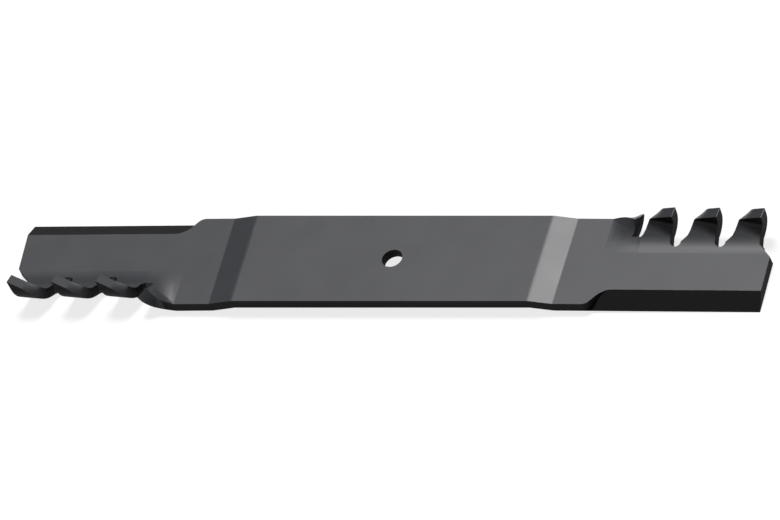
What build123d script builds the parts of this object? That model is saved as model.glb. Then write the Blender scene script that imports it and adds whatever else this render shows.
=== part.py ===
from build123d import *
import os
from math import atan2, cos, hypot, radians, sin, tan

# Rotary mower blade with toothed, lifted trailing edges, bent and ground from one steel bar.
# Millimetres. X runs along the blade, Y across it, Z up, towards the spindle.
# The origin is on the spindle axis, in the underside of the flat hub.
# Both ends are the same shape: one wing is modelled and turned half a turn about Z.

# Bar stock and hub
bar_width = 63.5
bar_thickness = 6.35
hole_diameter = 12.7
hub_length = 188.0

# Offset bend that drops each wing below the hub, and the wing's slight droop
ramp_run = 14.6
offset_drop = 2.75
wing_droop = 0.7
press_radius = 5.0

# Wing tip, measured from the spindle axis
tip_reach = 238.0
tip_slant = 1.4
tip_corner_y = 4.6

# Ground cutting bevel on the leading edge
bevel_angle = 28.7
edge_land = 0.3
bevel_start = 129.5
bevel_runout_angle = 52.0
bevel_toe_radius = 6.0
bevel_heel_radius = 12.0

# Lifted trailing edge: one long bend, parallel to the blade
lift_start = 6.6
lift_radius = 29.0
lift_angle = 23.6

# Round-bottomed gaps between teeth, punched square to the end of the long bend
gap_radius = 3.4
gap_depth = 7.2
gap_setback = 23.9

# Teeth: the outer end of each is folded up further, about a line askew to the blade.
# Heights run up the tooth from its fold line, and setbacks run from its station towards the hub.
# The back of a tooth climbs from the fold to a knee, leans in to a shoulder, and ends at the tip.
# The twist brings its outer edge forward of its inner edge at the knee.
tooth_count = 3
tooth_pitch = 28.2
last_tooth_station = 226.8
tooth_front = 0.7
tooth_back = 16.7
fold_radius = 7.5
fold_skew = 10.1
fold_lead = 0.2
upright_angle = 99.7
fold_back = 15.7
knee_height = 7.2
knee_back = 13.6
knee_sweep = 1.5
shoulder_height = 11.1
shoulder_back = 5.3
back_twist = 2.4
tooth_height = 15.2
tooth_lean = 3.2
tooth_tip_width = 0.3

# Root of the lifted edge, where the flat bar curls up beside the first tooth. The curl's upper and
# lower edges leave the bar's straight edge on power curves of the share of the root's length.
root_start = 131.0
root_end = 152.6
root_angle = 21.0
curl_bend_in = 1.5
curl_top_in = 10.5
curl_top_up = 10.0
curl_low_out = 7.0
curl_low_in = 8.0
curl_low_up = 12.3

# Slot between the root and the first tooth. The root's side of it is a slanted wall: one vector
# climbs along it and the other runs across the bar's thickness.
slot_station = 147.0
slot_floor = 0.8
slot_depth = 1.2
slot_foot = 0.9
slot_lean = 0.32
slot_rise = (0.6, 7.3, 6.3)
slot_run = (4.7, 6.0, -2.2)

half_width = bar_width / 2
hub_half = hub_length / 2
ramp_end = hub_half + ramp_run
through = 60.0


def turned(length, angle):
    """A step of the given length in the XZ plane, sloping down by angle degrees."""
    return Vector(length * cos(radians(angle)), 0, -length * sin(radians(angle)))


def wing_plane():
    """The wing's top plane. Its x is the station along the blade, from the spindle axis."""
    along = turned(1, wing_droop)
    bend = Vector(ramp_end, 0, bar_thickness - offset_drop)
    return Plane(origin=bend - along * ramp_end, x_dir=along, z_dir=along.cross(Vector(0, 1, 0)))


def mitred(previous, corner, following):
    """The corner moved square to both of its sides by the bar's thickness, downwards."""
    before = (corner - previous).normalized()
    after = (following - corner).normalized()
    down_before = Vector(before.Z, 0, -before.X)
    down_after = Vector(after.Z, 0, -after.X)
    share = bar_thickness / (1 + down_before.dot(down_after))
    return corner + (down_before + down_after) * share


def centre_bar():
    """The flat hub with both ramps, as far as the start of the wings."""
    hub_corner = Vector(hub_half, 0, bar_thickness)
    ramp_corner = Vector(ramp_end, 0, bar_thickness - offset_drop)
    wing_point = ramp_corner + turned(root_start - ramp_end, wing_droop)
    centre = Vector(0, 0, bar_thickness)
    square_down = turned(bar_thickness, wing_droop + 90)
    low_hub = mitred(centre, hub_corner, ramp_corner)
    low_ramp = mitred(hub_corner, ramp_corner, wing_point)
    outer = press_radius + bar_thickness
    top = FilletPolyline(centre, hub_corner, ramp_corner, wing_point, radius=[outer, press_radius])
    low = FilletPolyline(Vector(0, 0, 0), low_hub, low_ramp, wing_point + square_down,
                         radius=[press_radius, outer])
    ends = [Line(centre, Vector(0, 0, 0)), Line(wing_point, wing_point + square_down)]
    side = make_face(top.edges() + low.edges() + ends)
    return extrude(side, amount=half_width, dir=(0, 1, 0), both=True)


def flat_wing():
    """The part of the wing that stays flat, in the wing's own frame."""
    outline = Polyline(
        (root_start, -half_width),
        (tip_reach, -half_width),
        (tip_reach, lift_start),
        (root_start, lift_start),
        close=True,
    )
    return extrude(make_face(outline), amount=-bar_thickness)


def bevel_cutter():
    """The steel that grinding takes off above the bevel, with its curved run-out."""
    width = (bar_thickness - edge_land) / tan(radians(bevel_angle))
    inner_y = width - half_width
    climb = width / tan(radians(bevel_runout_angle))
    beyond = 20.0
    edge = FilletPolyline(
        (bevel_start - beyond, -half_width),
        (bevel_start, -half_width),
        (bevel_start + climb, inner_y),
        (tip_reach + beyond, inner_y),
        radius=[bevel_toe_radius, bevel_heel_radius],
    )
    close = Polyline(
        (tip_reach + beyond, inner_y),
        (tip_reach + beyond, -half_width - beyond),
        (bevel_start - beyond, -half_width - beyond),
        (bevel_start - beyond, -half_width),
    )
    ground = extrude(make_face(edge.edges() + close.edges()), amount=through, both=True)
    slope = Plane(origin=(0, inner_y, 0), x_dir=(1, 0, 0),
                  z_dir=(0, -sin(radians(bevel_angle)), cos(radians(bevel_angle))))
    above = slope * Box(4 * tip_reach, through, through, align=(Align.CENTER, Align.CENTER, Align.MIN))
    return ground & above


def lift_point(angle, past=0.0, depth=0.0):
    """Y and Z on the lifted edge's section, at a bend angle, past it along the tangent."""
    turn = radians(angle)
    radius = lift_radius + depth
    y = lift_start + radius * sin(turn) + past * cos(turn)
    z = lift_radius - radius * cos(turn) + past * sin(turn)
    return y, z


def arc_between(station, start, heading, end):
    """An arc at one station that leaves start on a heading in degrees, and where it ends."""
    chord_y = end[0] - start[0]
    chord_z = end[1] - start[1]
    half_turn = atan2(chord_z, chord_y) - radians(heading)
    radius = hypot(chord_y, chord_z) / (2 * sin(half_turn))
    first = radians(heading)
    middle = first + half_turn
    y = start[0] + radius * (sin(middle) - sin(first))
    z = start[1] + radius * (cos(first) - cos(middle))
    return ThreePointArc((station, *start), (station, y, z), (station, *end))


def root_section(share):
    """The root's section at one share of its length, from 0, where it is flat, to 1."""
    station = root_start + share * (root_end - root_start)
    early = min(1.0, 1.25 * share)
    lift = root_angle * early * early * (3 - 2 * early)
    full_bend = lift_start + lift_radius * sin(radians(root_angle))
    flat_bend = half_width - curl_bend_in
    bend_y = flat_bend + share * (full_bend - flat_bend)
    end = (half_width - curl_top_in * share ** 2.2, curl_top_up * share ** 1.15)
    low_end = (half_width + curl_low_out * share ** 2 - curl_low_in * share ** 4,
               curl_low_up * share ** 1.44 - bar_thickness)
    start = (lift_start, 0)
    low_start = (lift_start, -bar_thickness)
    if share > 0:
        turn = radians(lift)
        bend = (bend_y, (bend_y - lift_start) * tan(turn / 2))
        low_bend = (bend_y + bar_thickness * sin(turn), bend[1] - bar_thickness * cos(turn))
        sides = [
            arc_between(station, start, 0, bend),
            arc_between(station, bend, lift, end),
            Line((station, *end), (station, *low_end)),
            arc_between(station, low_bend, lift, low_end),
            arc_between(station, low_start, 0, low_bend),
            Line((station, *low_start), (station, *start)),
        ]
    else:
        bend = (bend_y, 0)
        low_bend = (bend_y, -bar_thickness)
        corners = [start, bend, end, low_end, low_bend, low_start, start]
        sides = [Line((station, *first), (station, *last)) for first, last in zip(corners, corners[1:])]
    return Face(Wire(sides))


def lift_root():
    """The curl from the flat bar up beside the slot."""
    steps = 6
    return loft([root_section(step / steps) for step in range(steps + 1)])


def plate_row(left, right, normal, twist=0.0):
    """One row of a plate patch: its top edge runs left to right, its thickness along -normal."""
    down = normal * -bar_thickness
    low_left = left + down + (right - left).normalized() * twist
    return Face(Wire([
        Line(left, right),
        Line(right, right + down),
        Line(right + down, low_left),
        Line(low_left, left),
    ]))


def lift_strip():
    """The continuous long bend, from its root to the tip."""
    start_top = Vector(root_end, *lift_point(0))
    end_top = Vector(root_end, *lift_point(lift_angle))
    start_low = Vector(root_end, *lift_point(0, depth=bar_thickness))
    end_low = Vector(root_end, *lift_point(lift_angle, depth=bar_thickness))
    mid_top = Vector(root_end, *lift_point(lift_angle / 2))
    mid_low = Vector(root_end, *lift_point(lift_angle / 2, depth=bar_thickness))
    section = make_face([
        ThreePointArc(start_top, mid_top, end_top),
        Line(end_top, end_low),
        ThreePointArc(end_low, mid_low, start_low),
        Line(start_low, start_top),
    ])
    return extrude(section, amount=tip_reach - root_end, dir=(1, 0, 0))


def punch_plane():
    """The plane the gaps are drawn in: it touches the end of the long bend, x along the wing."""
    turn = radians(lift_angle)
    return Plane(origin=(0, *lift_point(lift_angle)), x_dir=(1, 0, 0), z_dir=(0, -sin(turn), cos(turn)))


def gap_outline(left, right):
    """The gap between the front of the tooth at station left and the back of the one at right."""
    middle = right - gap_setback
    round_centre = gap_radius - gap_depth
    front = (middle - gap_radius, round_centre)
    back = (middle + gap_radius, round_centre)
    over = 1.0
    return make_face([
        ThreePointArc(front, (middle, -gap_depth), back),
        Line(back, (right - tooth_back, 0)),
        Line((right - tooth_back, 0), (right - tooth_back, over)),
        Line((right - tooth_back, over), (left + tooth_front, over)),
        Line((left + tooth_front, over), (left + tooth_front, 0)),
        Line((left + tooth_front, 0), front),
    ])


def tip_corner():
    """The corner beyond the last tooth, cut off at 45 degrees from the blade's end to the last gap."""
    middle = last_tooth_station + tooth_pitch - gap_setback
    inner_x = middle - 0.6 * gap_radius
    outer_x = tip_reach - tip_slant
    outline = make_face(Polyline(
        (outer_x, tip_corner_y),
        (inner_x, tip_corner_y + outer_x - inner_x),
        (inner_x, bar_width),
        (tip_reach + bar_width, bar_width),
        (tip_reach + bar_width, tip_corner_y),
        close=True,
    ))
    return extrude(outline, amount=bar_width, both=True)


def slot():
    """The narrow slot between the root and the first tooth; the root's side of it is slanted."""
    first = last_tooth_station - (tooth_count - 1) * tooth_pitch
    beside = first - gap_setback + gap_radius
    climb = (gap_depth - gap_radius - slot_depth) / (gap_depth - gap_radius)
    side = beside + climb * (first - tooth_back - beside)
    high = bar_width / 4
    outline = make_face(Polyline(
        (slot_station + slot_floor, -slot_depth),
        (slot_station + slot_floor + slot_lean * (high + slot_depth), high),
        (first - tooth_back + slot_lean * high, high),
        (first - tooth_back, 0),
        (side, -slot_depth),
        close=True,
    ))
    straight = extrude(punch_plane() * outline, amount=bar_width, both=True)
    rise = Vector(*slot_rise)
    run = Vector(*slot_run).normalized()
    foot = punch_plane().from_local_coords(Vector(slot_station, -slot_depth, -slot_foot))
    slanted_plane = Plane(origin=foot, x_dir=rise - run * rise.dot(run), z_dir=run)
    slanted = slanted_plane * Rectangle(high, high, align=(Align.MIN, Align.MIN))
    return straight + extrude(slanted, amount=bar_width / 2, both=True)


def tip_trim():
    """What lies beyond the blade's slightly slanted end."""
    lean = tip_slant / (tip_corner_y + half_width)
    outline = make_face(Polyline(
        (tip_reach, -half_width),
        (tip_reach + bar_width, -half_width),
        (tip_reach + bar_width, bar_width),
        (tip_reach - lean * (bar_width + half_width), bar_width),
        close=True,
    ))
    return extrude(outline, amount=bar_width, both=True)


def fold_row(height, back, twist=0.0):
    """One row of a tooth at a height up its folded face, from setback back to its leaning front."""
    lift_turn = radians(lift_angle)
    skew = radians(fold_skew)
    up_slope = Vector(0, cos(lift_turn), sin(lift_turn))
    normal = Vector(0, -sin(lift_turn), cos(lift_turn))
    across = Vector(1, 0, 0) * cos(skew) - up_slope * sin(skew)
    upward = Vector(1, 0, 0) * sin(skew) + up_slope * cos(skew)
    foot = Vector(0, *lift_point(lift_angle)) + upward * (tooth_front * tan(skew) + fold_lead)
    fold_angle = upright_angle - lift_angle
    folded = fold_radius * radians(fold_angle)
    turn = radians(min(height / folded, 1.0) * fold_angle)
    past = max(height - folded, 0.0)
    along = fold_radius * sin(turn) + past * cos(turn)
    lifted = fold_radius * (1 - cos(turn)) + past * sin(turn)
    line = foot + upward * along + normal * lifted
    front = tooth_front + (tooth_lean - tooth_front) * height / tooth_height
    outward = normal * cos(turn) - upward * sin(turn)
    return plate_row(line - across * back, line + across * front, outward, twist)


def swept_back(height):
    """Setback of a tooth's back below its knee."""
    return fold_back - (fold_back - knee_back) * (height / knee_height) ** knee_sweep


def tooth():
    """One tooth above the long bend, with its station at x = 0."""
    turn = radians(lift_angle)
    y, z = lift_point(lift_angle)
    base_row = plate_row(Vector(-tooth_back, y, z), Vector(tooth_front, y, z),
                         Vector(0, -sin(turn), cos(turn)))
    base = loft([base_row, fold_row(0.0, fold_back)])
    steps = 5
    low_rows = []
    high_rows = []
    for step in range(steps + 1):
        share = step / steps
        height = knee_height * share
        low_rows.append(fold_row(height, swept_back(height), back_twist * share))
        height = knee_height + share * (shoulder_height - knee_height)
        back = knee_back + share * (shoulder_back - knee_back)
        high_rows.append(fold_row(height, back, back_twist * (1 - share)))
    tip_back = tooth_tip_width - tooth_lean
    top = loft([fold_row(shoulder_height, shoulder_back), fold_row(tooth_height, tip_back)])
    return base + loft(low_rows) + loft(high_rows) + top


def wing():
    """One complete wing, placed at its droop."""
    shape = flat_wing() + lift_root() + lift_strip()
    shape -= tip_trim()
    stations = [last_tooth_station - index * tooth_pitch for index in range(tooth_count)]
    shape -= tip_corner()
    for station in stations:
        outline = gap_outline(station, station + tooth_pitch)
        shape -= extrude(punch_plane() * outline, amount=bar_width / 2, both=True)
    shape -= slot()
    single = tooth()
    for station in stations:
        shape += Location((station, 0, 0)) * single
    shape -= bevel_cutter()
    return wing_plane().location * shape


def blade():
    """The whole blade: hub, ramps, two wings and the spindle hole."""
    first = wing()
    second = Rotation(0, 0, 180) * first
    body = centre_bar()
    body += Rotation(0, 0, 180) * body
    cutter = wing_plane().location * bevel_cutter()
    body = body - cutter - Rotation(0, 0, 180) * cutter
    body = body + first + second
    body -= Cylinder(hole_diameter / 2, through)
    return body


mower_blade = blade()
mower_blade.label = "mower_blade"
os.makedirs("parts", exist_ok=True)
export_step(mower_blade, "parts/mower_blade.step")
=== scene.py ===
"""Looks of a rotary mower blade, dressed over its CAD solid, with floor, studio light and camera."""

import logging
import math
from dataclasses import dataclass, field
from enum import Enum
from typing import Any

import bpy
from mathutils import Matrix, Vector


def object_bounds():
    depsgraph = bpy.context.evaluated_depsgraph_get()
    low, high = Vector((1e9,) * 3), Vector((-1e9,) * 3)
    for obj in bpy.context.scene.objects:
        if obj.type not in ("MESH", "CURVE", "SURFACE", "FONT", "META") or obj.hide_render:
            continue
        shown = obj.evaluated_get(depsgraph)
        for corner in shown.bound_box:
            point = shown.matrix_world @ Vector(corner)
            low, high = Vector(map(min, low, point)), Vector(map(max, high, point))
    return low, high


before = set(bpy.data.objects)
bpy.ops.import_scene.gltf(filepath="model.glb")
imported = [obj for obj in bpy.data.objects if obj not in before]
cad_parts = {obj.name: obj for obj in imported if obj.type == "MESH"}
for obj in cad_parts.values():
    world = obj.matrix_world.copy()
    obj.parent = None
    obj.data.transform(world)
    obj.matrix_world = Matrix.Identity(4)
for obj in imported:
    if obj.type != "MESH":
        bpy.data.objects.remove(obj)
CAD_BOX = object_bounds()

BLADE_NODE = "mower_blade"
MM = 0.001
PURE_WHITE = "#ffffff"

# The photograph's frame, and how its camera stands to the blade. It is a parallel view, so one pixel
# is the same length all over. Right and up are the picture's own directions, in the blade's axes.
FRAME_WIDTH_PX = 780
FRAME_HEIGHT_PX = 520
MM_PER_PX = 0.5826
HOLE_PX = (392.065, 258.262)
VIEW_RIGHT = Vector((0.9201, 0.2437, -0.3066))
VIEW_UP = Vector((0.0, 0.7829, 0.6222))
HUB_TOP = 6.35 * MM
CAMERA_DISTANCE = 2.0

# Blender's own numbers for the inputs of a Mix node, for colours and for plain values, and for the
# output that has the mixed colour.
COLOUR_A, COLOUR_B, COLOUR_MIXED = 6, 7, 2
VALUE_A, VALUE_B = 2, 3

log = logging.getLogger("mower_blade")


class Side(Enum):
    """Where a lamp stands, in degrees: turned round Z from the front, then raised."""

    KEY = (190.0, 66.0)
    FILL = (-40.0, 35.0)


def linear(hex_colour: str) -> tuple[float, float, float, float]:
    """The linear colour that Blender's sockets take.

    Args:
        hex_colour: An sRGB colour such as "#646464".

    Returns:
        Red, green and blue from 0 to 1, linear, and an alpha of 1.
    """
    channels = [int(hex_colour[i:i + 2], 16) / 255 for i in (1, 3, 5)]
    curved = [c / 12.92 if c <= 0.04045 else ((c + 0.055) / 1.055) ** 2.4 for c in channels]
    return (*curved, 1.0)


def add_node(tree: bpy.types.NodeTree, kind: str, settings: dict[str, Any] | None = None,
             values: dict[str | int, Any] | None = None,
             links: dict[str | int, Any] | None = None) -> bpy.types.Node:
    """Adds one node to a tree.

    Args:
        tree: The node tree.
        kind: The node's type, such as "ShaderNodeTexNoise".
        settings: Properties of the node itself.
        values: Constant values for its input sockets, by name or number.
        links: Output sockets that feed its input sockets, by name or number.

    Returns:
        The new node.
    """
    node = tree.nodes.new(kind)
    for name, value in (settings or {}).items():
        setattr(node, name, value)
    for name, value in (values or {}).items():
        node.inputs[name].default_value = value
    for name, output in (links or {}).items():
        tree.links.new(output, node.inputs[name])
    return node


def add_noise(tree: bpy.types.NodeTree, place: Any, size_mm: float, detail: float,
              roughness: float) -> Any:
    """Adds an uneven pattern of a real size.

    Args:
        tree: The node tree.
        place: Output socket with the place on the piece.
        size_mm: Size of the pattern's coarsest patches.
        detail: How many finer layers lie on them.
        roughness: How strong the finer layers are.

    Returns:
        An output socket that wavers about 0.5.
    """
    noise = add_node(tree, "ShaderNodeTexNoise", links={"Vector": place},
                     values={"Scale": 1 / (size_mm * MM), "Detail": detail, "Roughness": roughness})
    return noise.outputs["Fac"]


def add_math(tree: bpy.types.NodeTree, operation: str, first: Any, second: Any = None) -> Any:
    """Adds one sum on plain values.

    Args:
        tree: The node tree.
        operation: What is worked out, such as "MULTIPLY".
        first: Output socket with the first value.
        second: The second value, as a number or an output socket, where the sum takes one.

    Returns:
        An output socket with the result.
    """
    constant = isinstance(second, float)
    values = {1: second} if constant else {}
    links = {0: first} if constant or second is None else {0: first, 1: second}
    return add_node(tree, "ShaderNodeMath", {"operation": operation}, values, links).outputs[0]


def add_ramp(tree: bpy.types.NodeTree, value: Any, source: tuple[float, float],
             target: tuple[float, float] = (0.0, 1.0)) -> Any:
    """Maps one span of values to another, and holds it at the ends.

    Args:
        tree: The node tree.
        value: Output socket with the value.
        source: The span that comes in.
        target: The span that goes out.

    Returns:
        An output socket with the mapped value.
    """
    ends = {"From Min": source[0], "From Max": source[1], "To Min": target[0], "To Max": target[1]}
    return add_node(tree, "ShaderNodeMapRange", values=ends, links={"Value": value}).outputs["Result"]


@dataclass(frozen=True)
class SatinCoatedSteel:
    """Mild steel under a thin, satin, dark grey coating.

    The upper faces are smooth, with faint mottling and grain. The underside, which is also the
    outside of the teeth, and the sheared, punched and ground faces carry painted shade: a near-black,
    dull, partly metal coat, which frames the blade.
    """

    name: str = "satin_grey_coated_steel"

    # The coat on the upper faces: its two greys, its gloss, and how both waver.
    colour: str = "#3a3b3f"
    darker: str = "#37383c"
    roughness: float = 0.38
    roughness_spread: float = 0.018
    mottle_mm: float = 22.0
    mottle_span: tuple[float, float] = (0.3, 0.7)

    # The fine grain all over.
    grain_mm: float = 0.9
    grain_height_mm: float = 0.012
    grain_strength: float = 0.3

    # Painted shade on the steep faces, the bevel and the underside: near-black, dull and partly metal.
    painted_shade_colour: str = "#18181a"
    painted_shade_roughness: float = 0.8
    painted_shade_metal: float = 0.6

    # The painted shade comes in over this span of the upward part of a face's direction. The bevel is
    # found by its forward lean, and by how far in front of the blade's middle line it lies.
    steep_span: tuple[float, float] = (0.4, 0.15)
    bevel_lean_span: tuple[float, float] = (-0.25, -0.4)
    bevel_ahead_mm: float = 18.0

    def painted_shade_faces(self, tree: bpy.types.NodeTree, place: Any, facing: Any) -> Any:
        """Finds the underside, the steep faces and the ground bevel, where shade is painted.

        Args:
            tree: The material's node tree.
            place: Output socket with the place on the blade.
            facing: Output socket with the direction that the surface faces, in the blade's axes.

        Returns:
            An output socket that is 1 on those faces and 0 on the upper ones.
        """
        at = add_node(tree, "ShaderNodeSeparateXYZ", links={"Vector": place})
        faces = add_node(tree, "ShaderNodeSeparateXYZ", links={"Vector": facing})
        steep = add_ramp(tree, faces.outputs["Z"], self.steep_span)
        wing = add_math(tree, "SIGN", at.outputs["X"])
        behind = add_math(tree, "MULTIPLY", at.outputs["Y"], wing)
        leading = add_math(tree, "LESS_THAN", behind, -self.bevel_ahead_mm * MM)
        lean = add_math(tree, "MULTIPLY", faces.outputs["Y"], wing)
        leaning = add_ramp(tree, lean, self.bevel_lean_span)
        bevel = add_math(tree, "MULTIPLY", leading, leaning)
        return add_math(tree, "MAXIMUM", steep, bevel)

    def make(self) -> bpy.types.Material:
        """Builds the material.

        Returns:
            The new material.
        """
        material = bpy.data.materials.new(self.name)
        material.use_nodes = True
        tree = material.node_tree
        tree.nodes.clear()
        coordinates = add_node(tree, "ShaderNodeTexCoord")
        place = coordinates.outputs["Object"]
        # Painted shade: this mask darkens, dulls and partly metals the steep faces, the bevel and the
        # underside.
        painted_shade_mask = self.painted_shade_faces(tree, place, coordinates.outputs["Normal"])
        mottle = add_noise(tree, place, self.mottle_mm, detail=3.0, roughness=0.5)
        grain = add_noise(tree, place, self.grain_mm, detail=2.0, roughness=0.6)
        upper = add_node(tree, "ShaderNodeMix", {"data_type": "RGBA"}, links={0: mottle},
                         values={COLOUR_A: linear(self.darker), COLOUR_B: linear(self.colour)})
        # Painted shade: where the mask is 1, the colour turns near-black.
        colour = add_node(tree, "ShaderNodeMix", {"data_type": "RGBA"},
                          values={COLOUR_B: linear(self.painted_shade_colour)},
                          links={0: painted_shade_mask, COLOUR_A: upper.outputs[COLOUR_MIXED]})
        gloss = add_ramp(tree, mottle, self.mottle_span, (self.roughness - self.roughness_spread,
                                                          self.roughness + self.roughness_spread))
        rough = add_node(tree, "ShaderNodeMix", {"data_type": "FLOAT"},
                         values={VALUE_B: self.painted_shade_roughness}, links={0: painted_shade_mask, VALUE_A: gloss})
        # Painted shade: the masked faces turn partly metal, which dims what they reflect.
        metal = add_math(tree, "MULTIPLY", painted_shade_mask, self.painted_shade_metal)
        bump = add_node(tree, "ShaderNodeBump", links={"Height": grain},
                        values={"Strength": self.grain_strength, "Distance": self.grain_height_mm * MM})
        shader = add_node(tree, "ShaderNodeBsdfPrincipled",
                          links={"Base Color": colour.outputs[COLOUR_MIXED], "Metallic": metal,
                                 "Roughness": rough.outputs[0], "Normal": bump.outputs["Normal"]})
        add_node(tree, "ShaderNodeOutputMaterial", links={"Surface": shader.outputs["BSDF"]})
        return material


@dataclass(frozen=True)
class StudioFloor:
    """Matt studio paper, which keeps the blade's shadow.

    It is grey, so that it throws little light back at the blade. The glow makes it plain white, but
    only to the camera, in mirrors and through glass.
    """

    name: str = "white_studio_paper"
    colour: str = "#8c8c8c"
    glow: float = 0.8

    def make(self) -> bpy.types.Material:
        """Builds the material.

        Returns:
            The new material.
        """
        material = bpy.data.materials.new(self.name)
        material.use_nodes = True
        tree = material.node_tree
        tree.nodes.clear()
        rays = add_node(tree, "ShaderNodeLightPath")
        mirrored = add_math(tree, "MAXIMUM", rays.outputs["Is Glossy Ray"],
                            rays.outputs["Is Transmission Ray"])
        seen = add_math(tree, "MAXIMUM", rays.outputs["Is Camera Ray"], mirrored)
        paper = add_node(tree, "ShaderNodeBsdfDiffuse", values={"Color": linear(self.colour)})
        light = add_node(tree, "ShaderNodeEmission",
                         values={"Color": linear(PURE_WHITE), "Strength": self.glow})
        both = add_node(tree, "ShaderNodeAddShader", links={0: paper.outputs[0], 1: light.outputs[0]})
        shown = add_node(tree, "ShaderNodeMixShader",
                         links={0: seen, 1: paper.outputs[0], 2: both.outputs[0]})
        add_node(tree, "ShaderNodeOutputMaterial", links={"Surface": shown.outputs[0]})
        return material


@dataclass
class Blade:
    """The blade itself: the CAD solid, dressed in its coating."""

    node: str = BLADE_NODE
    slot: str = "coated_steel"
    finish: SatinCoatedSteel = field(default_factory=SatinCoatedSteel)

    def build(self) -> bpy.types.Object:
        """Finds the CAD node, which has the right shape as it is.

        Returns:
            The blade's object.
        """
        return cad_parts[self.node]

    def dress(self, piece: bpy.types.Object) -> None:
        """Puts the coating on the blade.

        Args:
            piece: The blade's object.
        """
        material = self.finish.make()
        for material_slot in piece.material_slots:
            material_slot.link = "OBJECT"
            material_slot.material = material
        log.info("dressed %s in %s", piece.name, material.name)


@dataclass
class Studio:
    """The floor, the lamps and the world."""

    floor_size: float = 12.0
    floor_gap: float = 0.02 * MM
    lamp_distance: float = 5.0
    world_level: float = 0.06

    # Each lamp's power in watts, and its side in metres.
    lamps: dict[Side, tuple[float, float]] = field(default_factory=lambda: {
        Side.KEY: (248.0, 1.56),
        Side.FILL: (8.0, 3.5),
    })

    def build(self, lowest: float) -> bpy.types.Object:
        """Builds the floor.

        Args:
            lowest: Height of the lowest point of the blade.

        Returns:
            The floor.
        """
        bpy.ops.mesh.primitive_plane_add(size=self.floor_size, location=(0, 0, lowest - self.floor_gap))
        floor = bpy.context.object
        floor.name = "studio_floor"
        return floor

    def dress(self, floor: bpy.types.Object) -> None:
        """Gives the floor its paper and lights the scene.

        Args:
            floor: The floor.
        """
        floor.data.materials.append(StudioFloor().make())
        for side, (power, size) in self.lamps.items():
            self.add_lamp(side, power, size)
        world = bpy.data.worlds.new("studio_air")
        world.use_nodes = True
        bpy.context.scene.world = world
        tree = world.node_tree
        tree.nodes.clear()
        light = add_node(tree, "ShaderNodeBackground",
                         values={"Color": linear(PURE_WHITE), "Strength": self.world_level})
        add_node(tree, "ShaderNodeOutputWorld", links={"Surface": light.outputs[0]})

    def add_lamp(self, side: Side, power: float, size: float) -> None:
        """Adds one soft square lamp, turned to the blade.

        Args:
            side: Where it stands.
            power: Its power in watts.
            size: Its side in metres.
        """
        azimuth, elevation = side.value
        round_z = Matrix.Rotation(math.radians(azimuth), 3, "Z")
        raised = Matrix.Rotation(math.radians(-elevation), 3, "X")
        away = round_z @ raised @ Vector((0, -1, 0))
        bpy.ops.object.light_add(type="AREA", location=away * self.lamp_distance)
        lamp = bpy.context.object
        lamp.name = f"lamp_{side.name.lower()}"
        lamp.data.energy = power
        lamp.data.size = size
        lamp.rotation_mode = "QUATERNION"
        lamp.rotation_quaternion = (-away).to_track_quat("-Z", "Y")


def add_camera() -> None:
    """Adds the camera at the photograph's angle: a parallel view with the hub's hole where it was."""
    right = VIEW_RIGHT.normalized()
    up = (VIEW_UP - VIEW_UP.dot(right) * right).normalized()
    back = right.cross(up)
    across = (FRAME_WIDTH_PX / 2 - HOLE_PX[0]) * MM_PER_PX * MM
    over = (HOLE_PX[1] - FRAME_HEIGHT_PX / 2) * MM_PER_PX * MM
    place = Vector((0, 0, HUB_TOP)) + right * across + up * over + back * CAMERA_DISTANCE
    bpy.ops.object.camera_add(location=place)
    camera = bpy.context.object
    camera.name = "photo_camera"
    camera.rotation_mode = "QUATERNION"
    camera.rotation_quaternion = Matrix((right, up, back)).transposed().to_quaternion()
    camera.data.type = "ORTHO"
    camera.data.ortho_scale = FRAME_WIDTH_PX * MM_PER_PX * MM
    bpy.context.scene.camera = camera


def main() -> None:
    """Builds the scene, piece by piece."""
    logging.basicConfig(level=logging.INFO, format="%(name)s: %(message)s")
    blade = Blade()
    blade.dress(blade.build())
    studio = Studio()
    floor = studio.build(CAD_BOX[0].z)
    studio.dress(floor)
    add_camera()
    bpy.context.scene.view_settings.view_transform = "Standard"


if __name__ == "__main__":
    main()
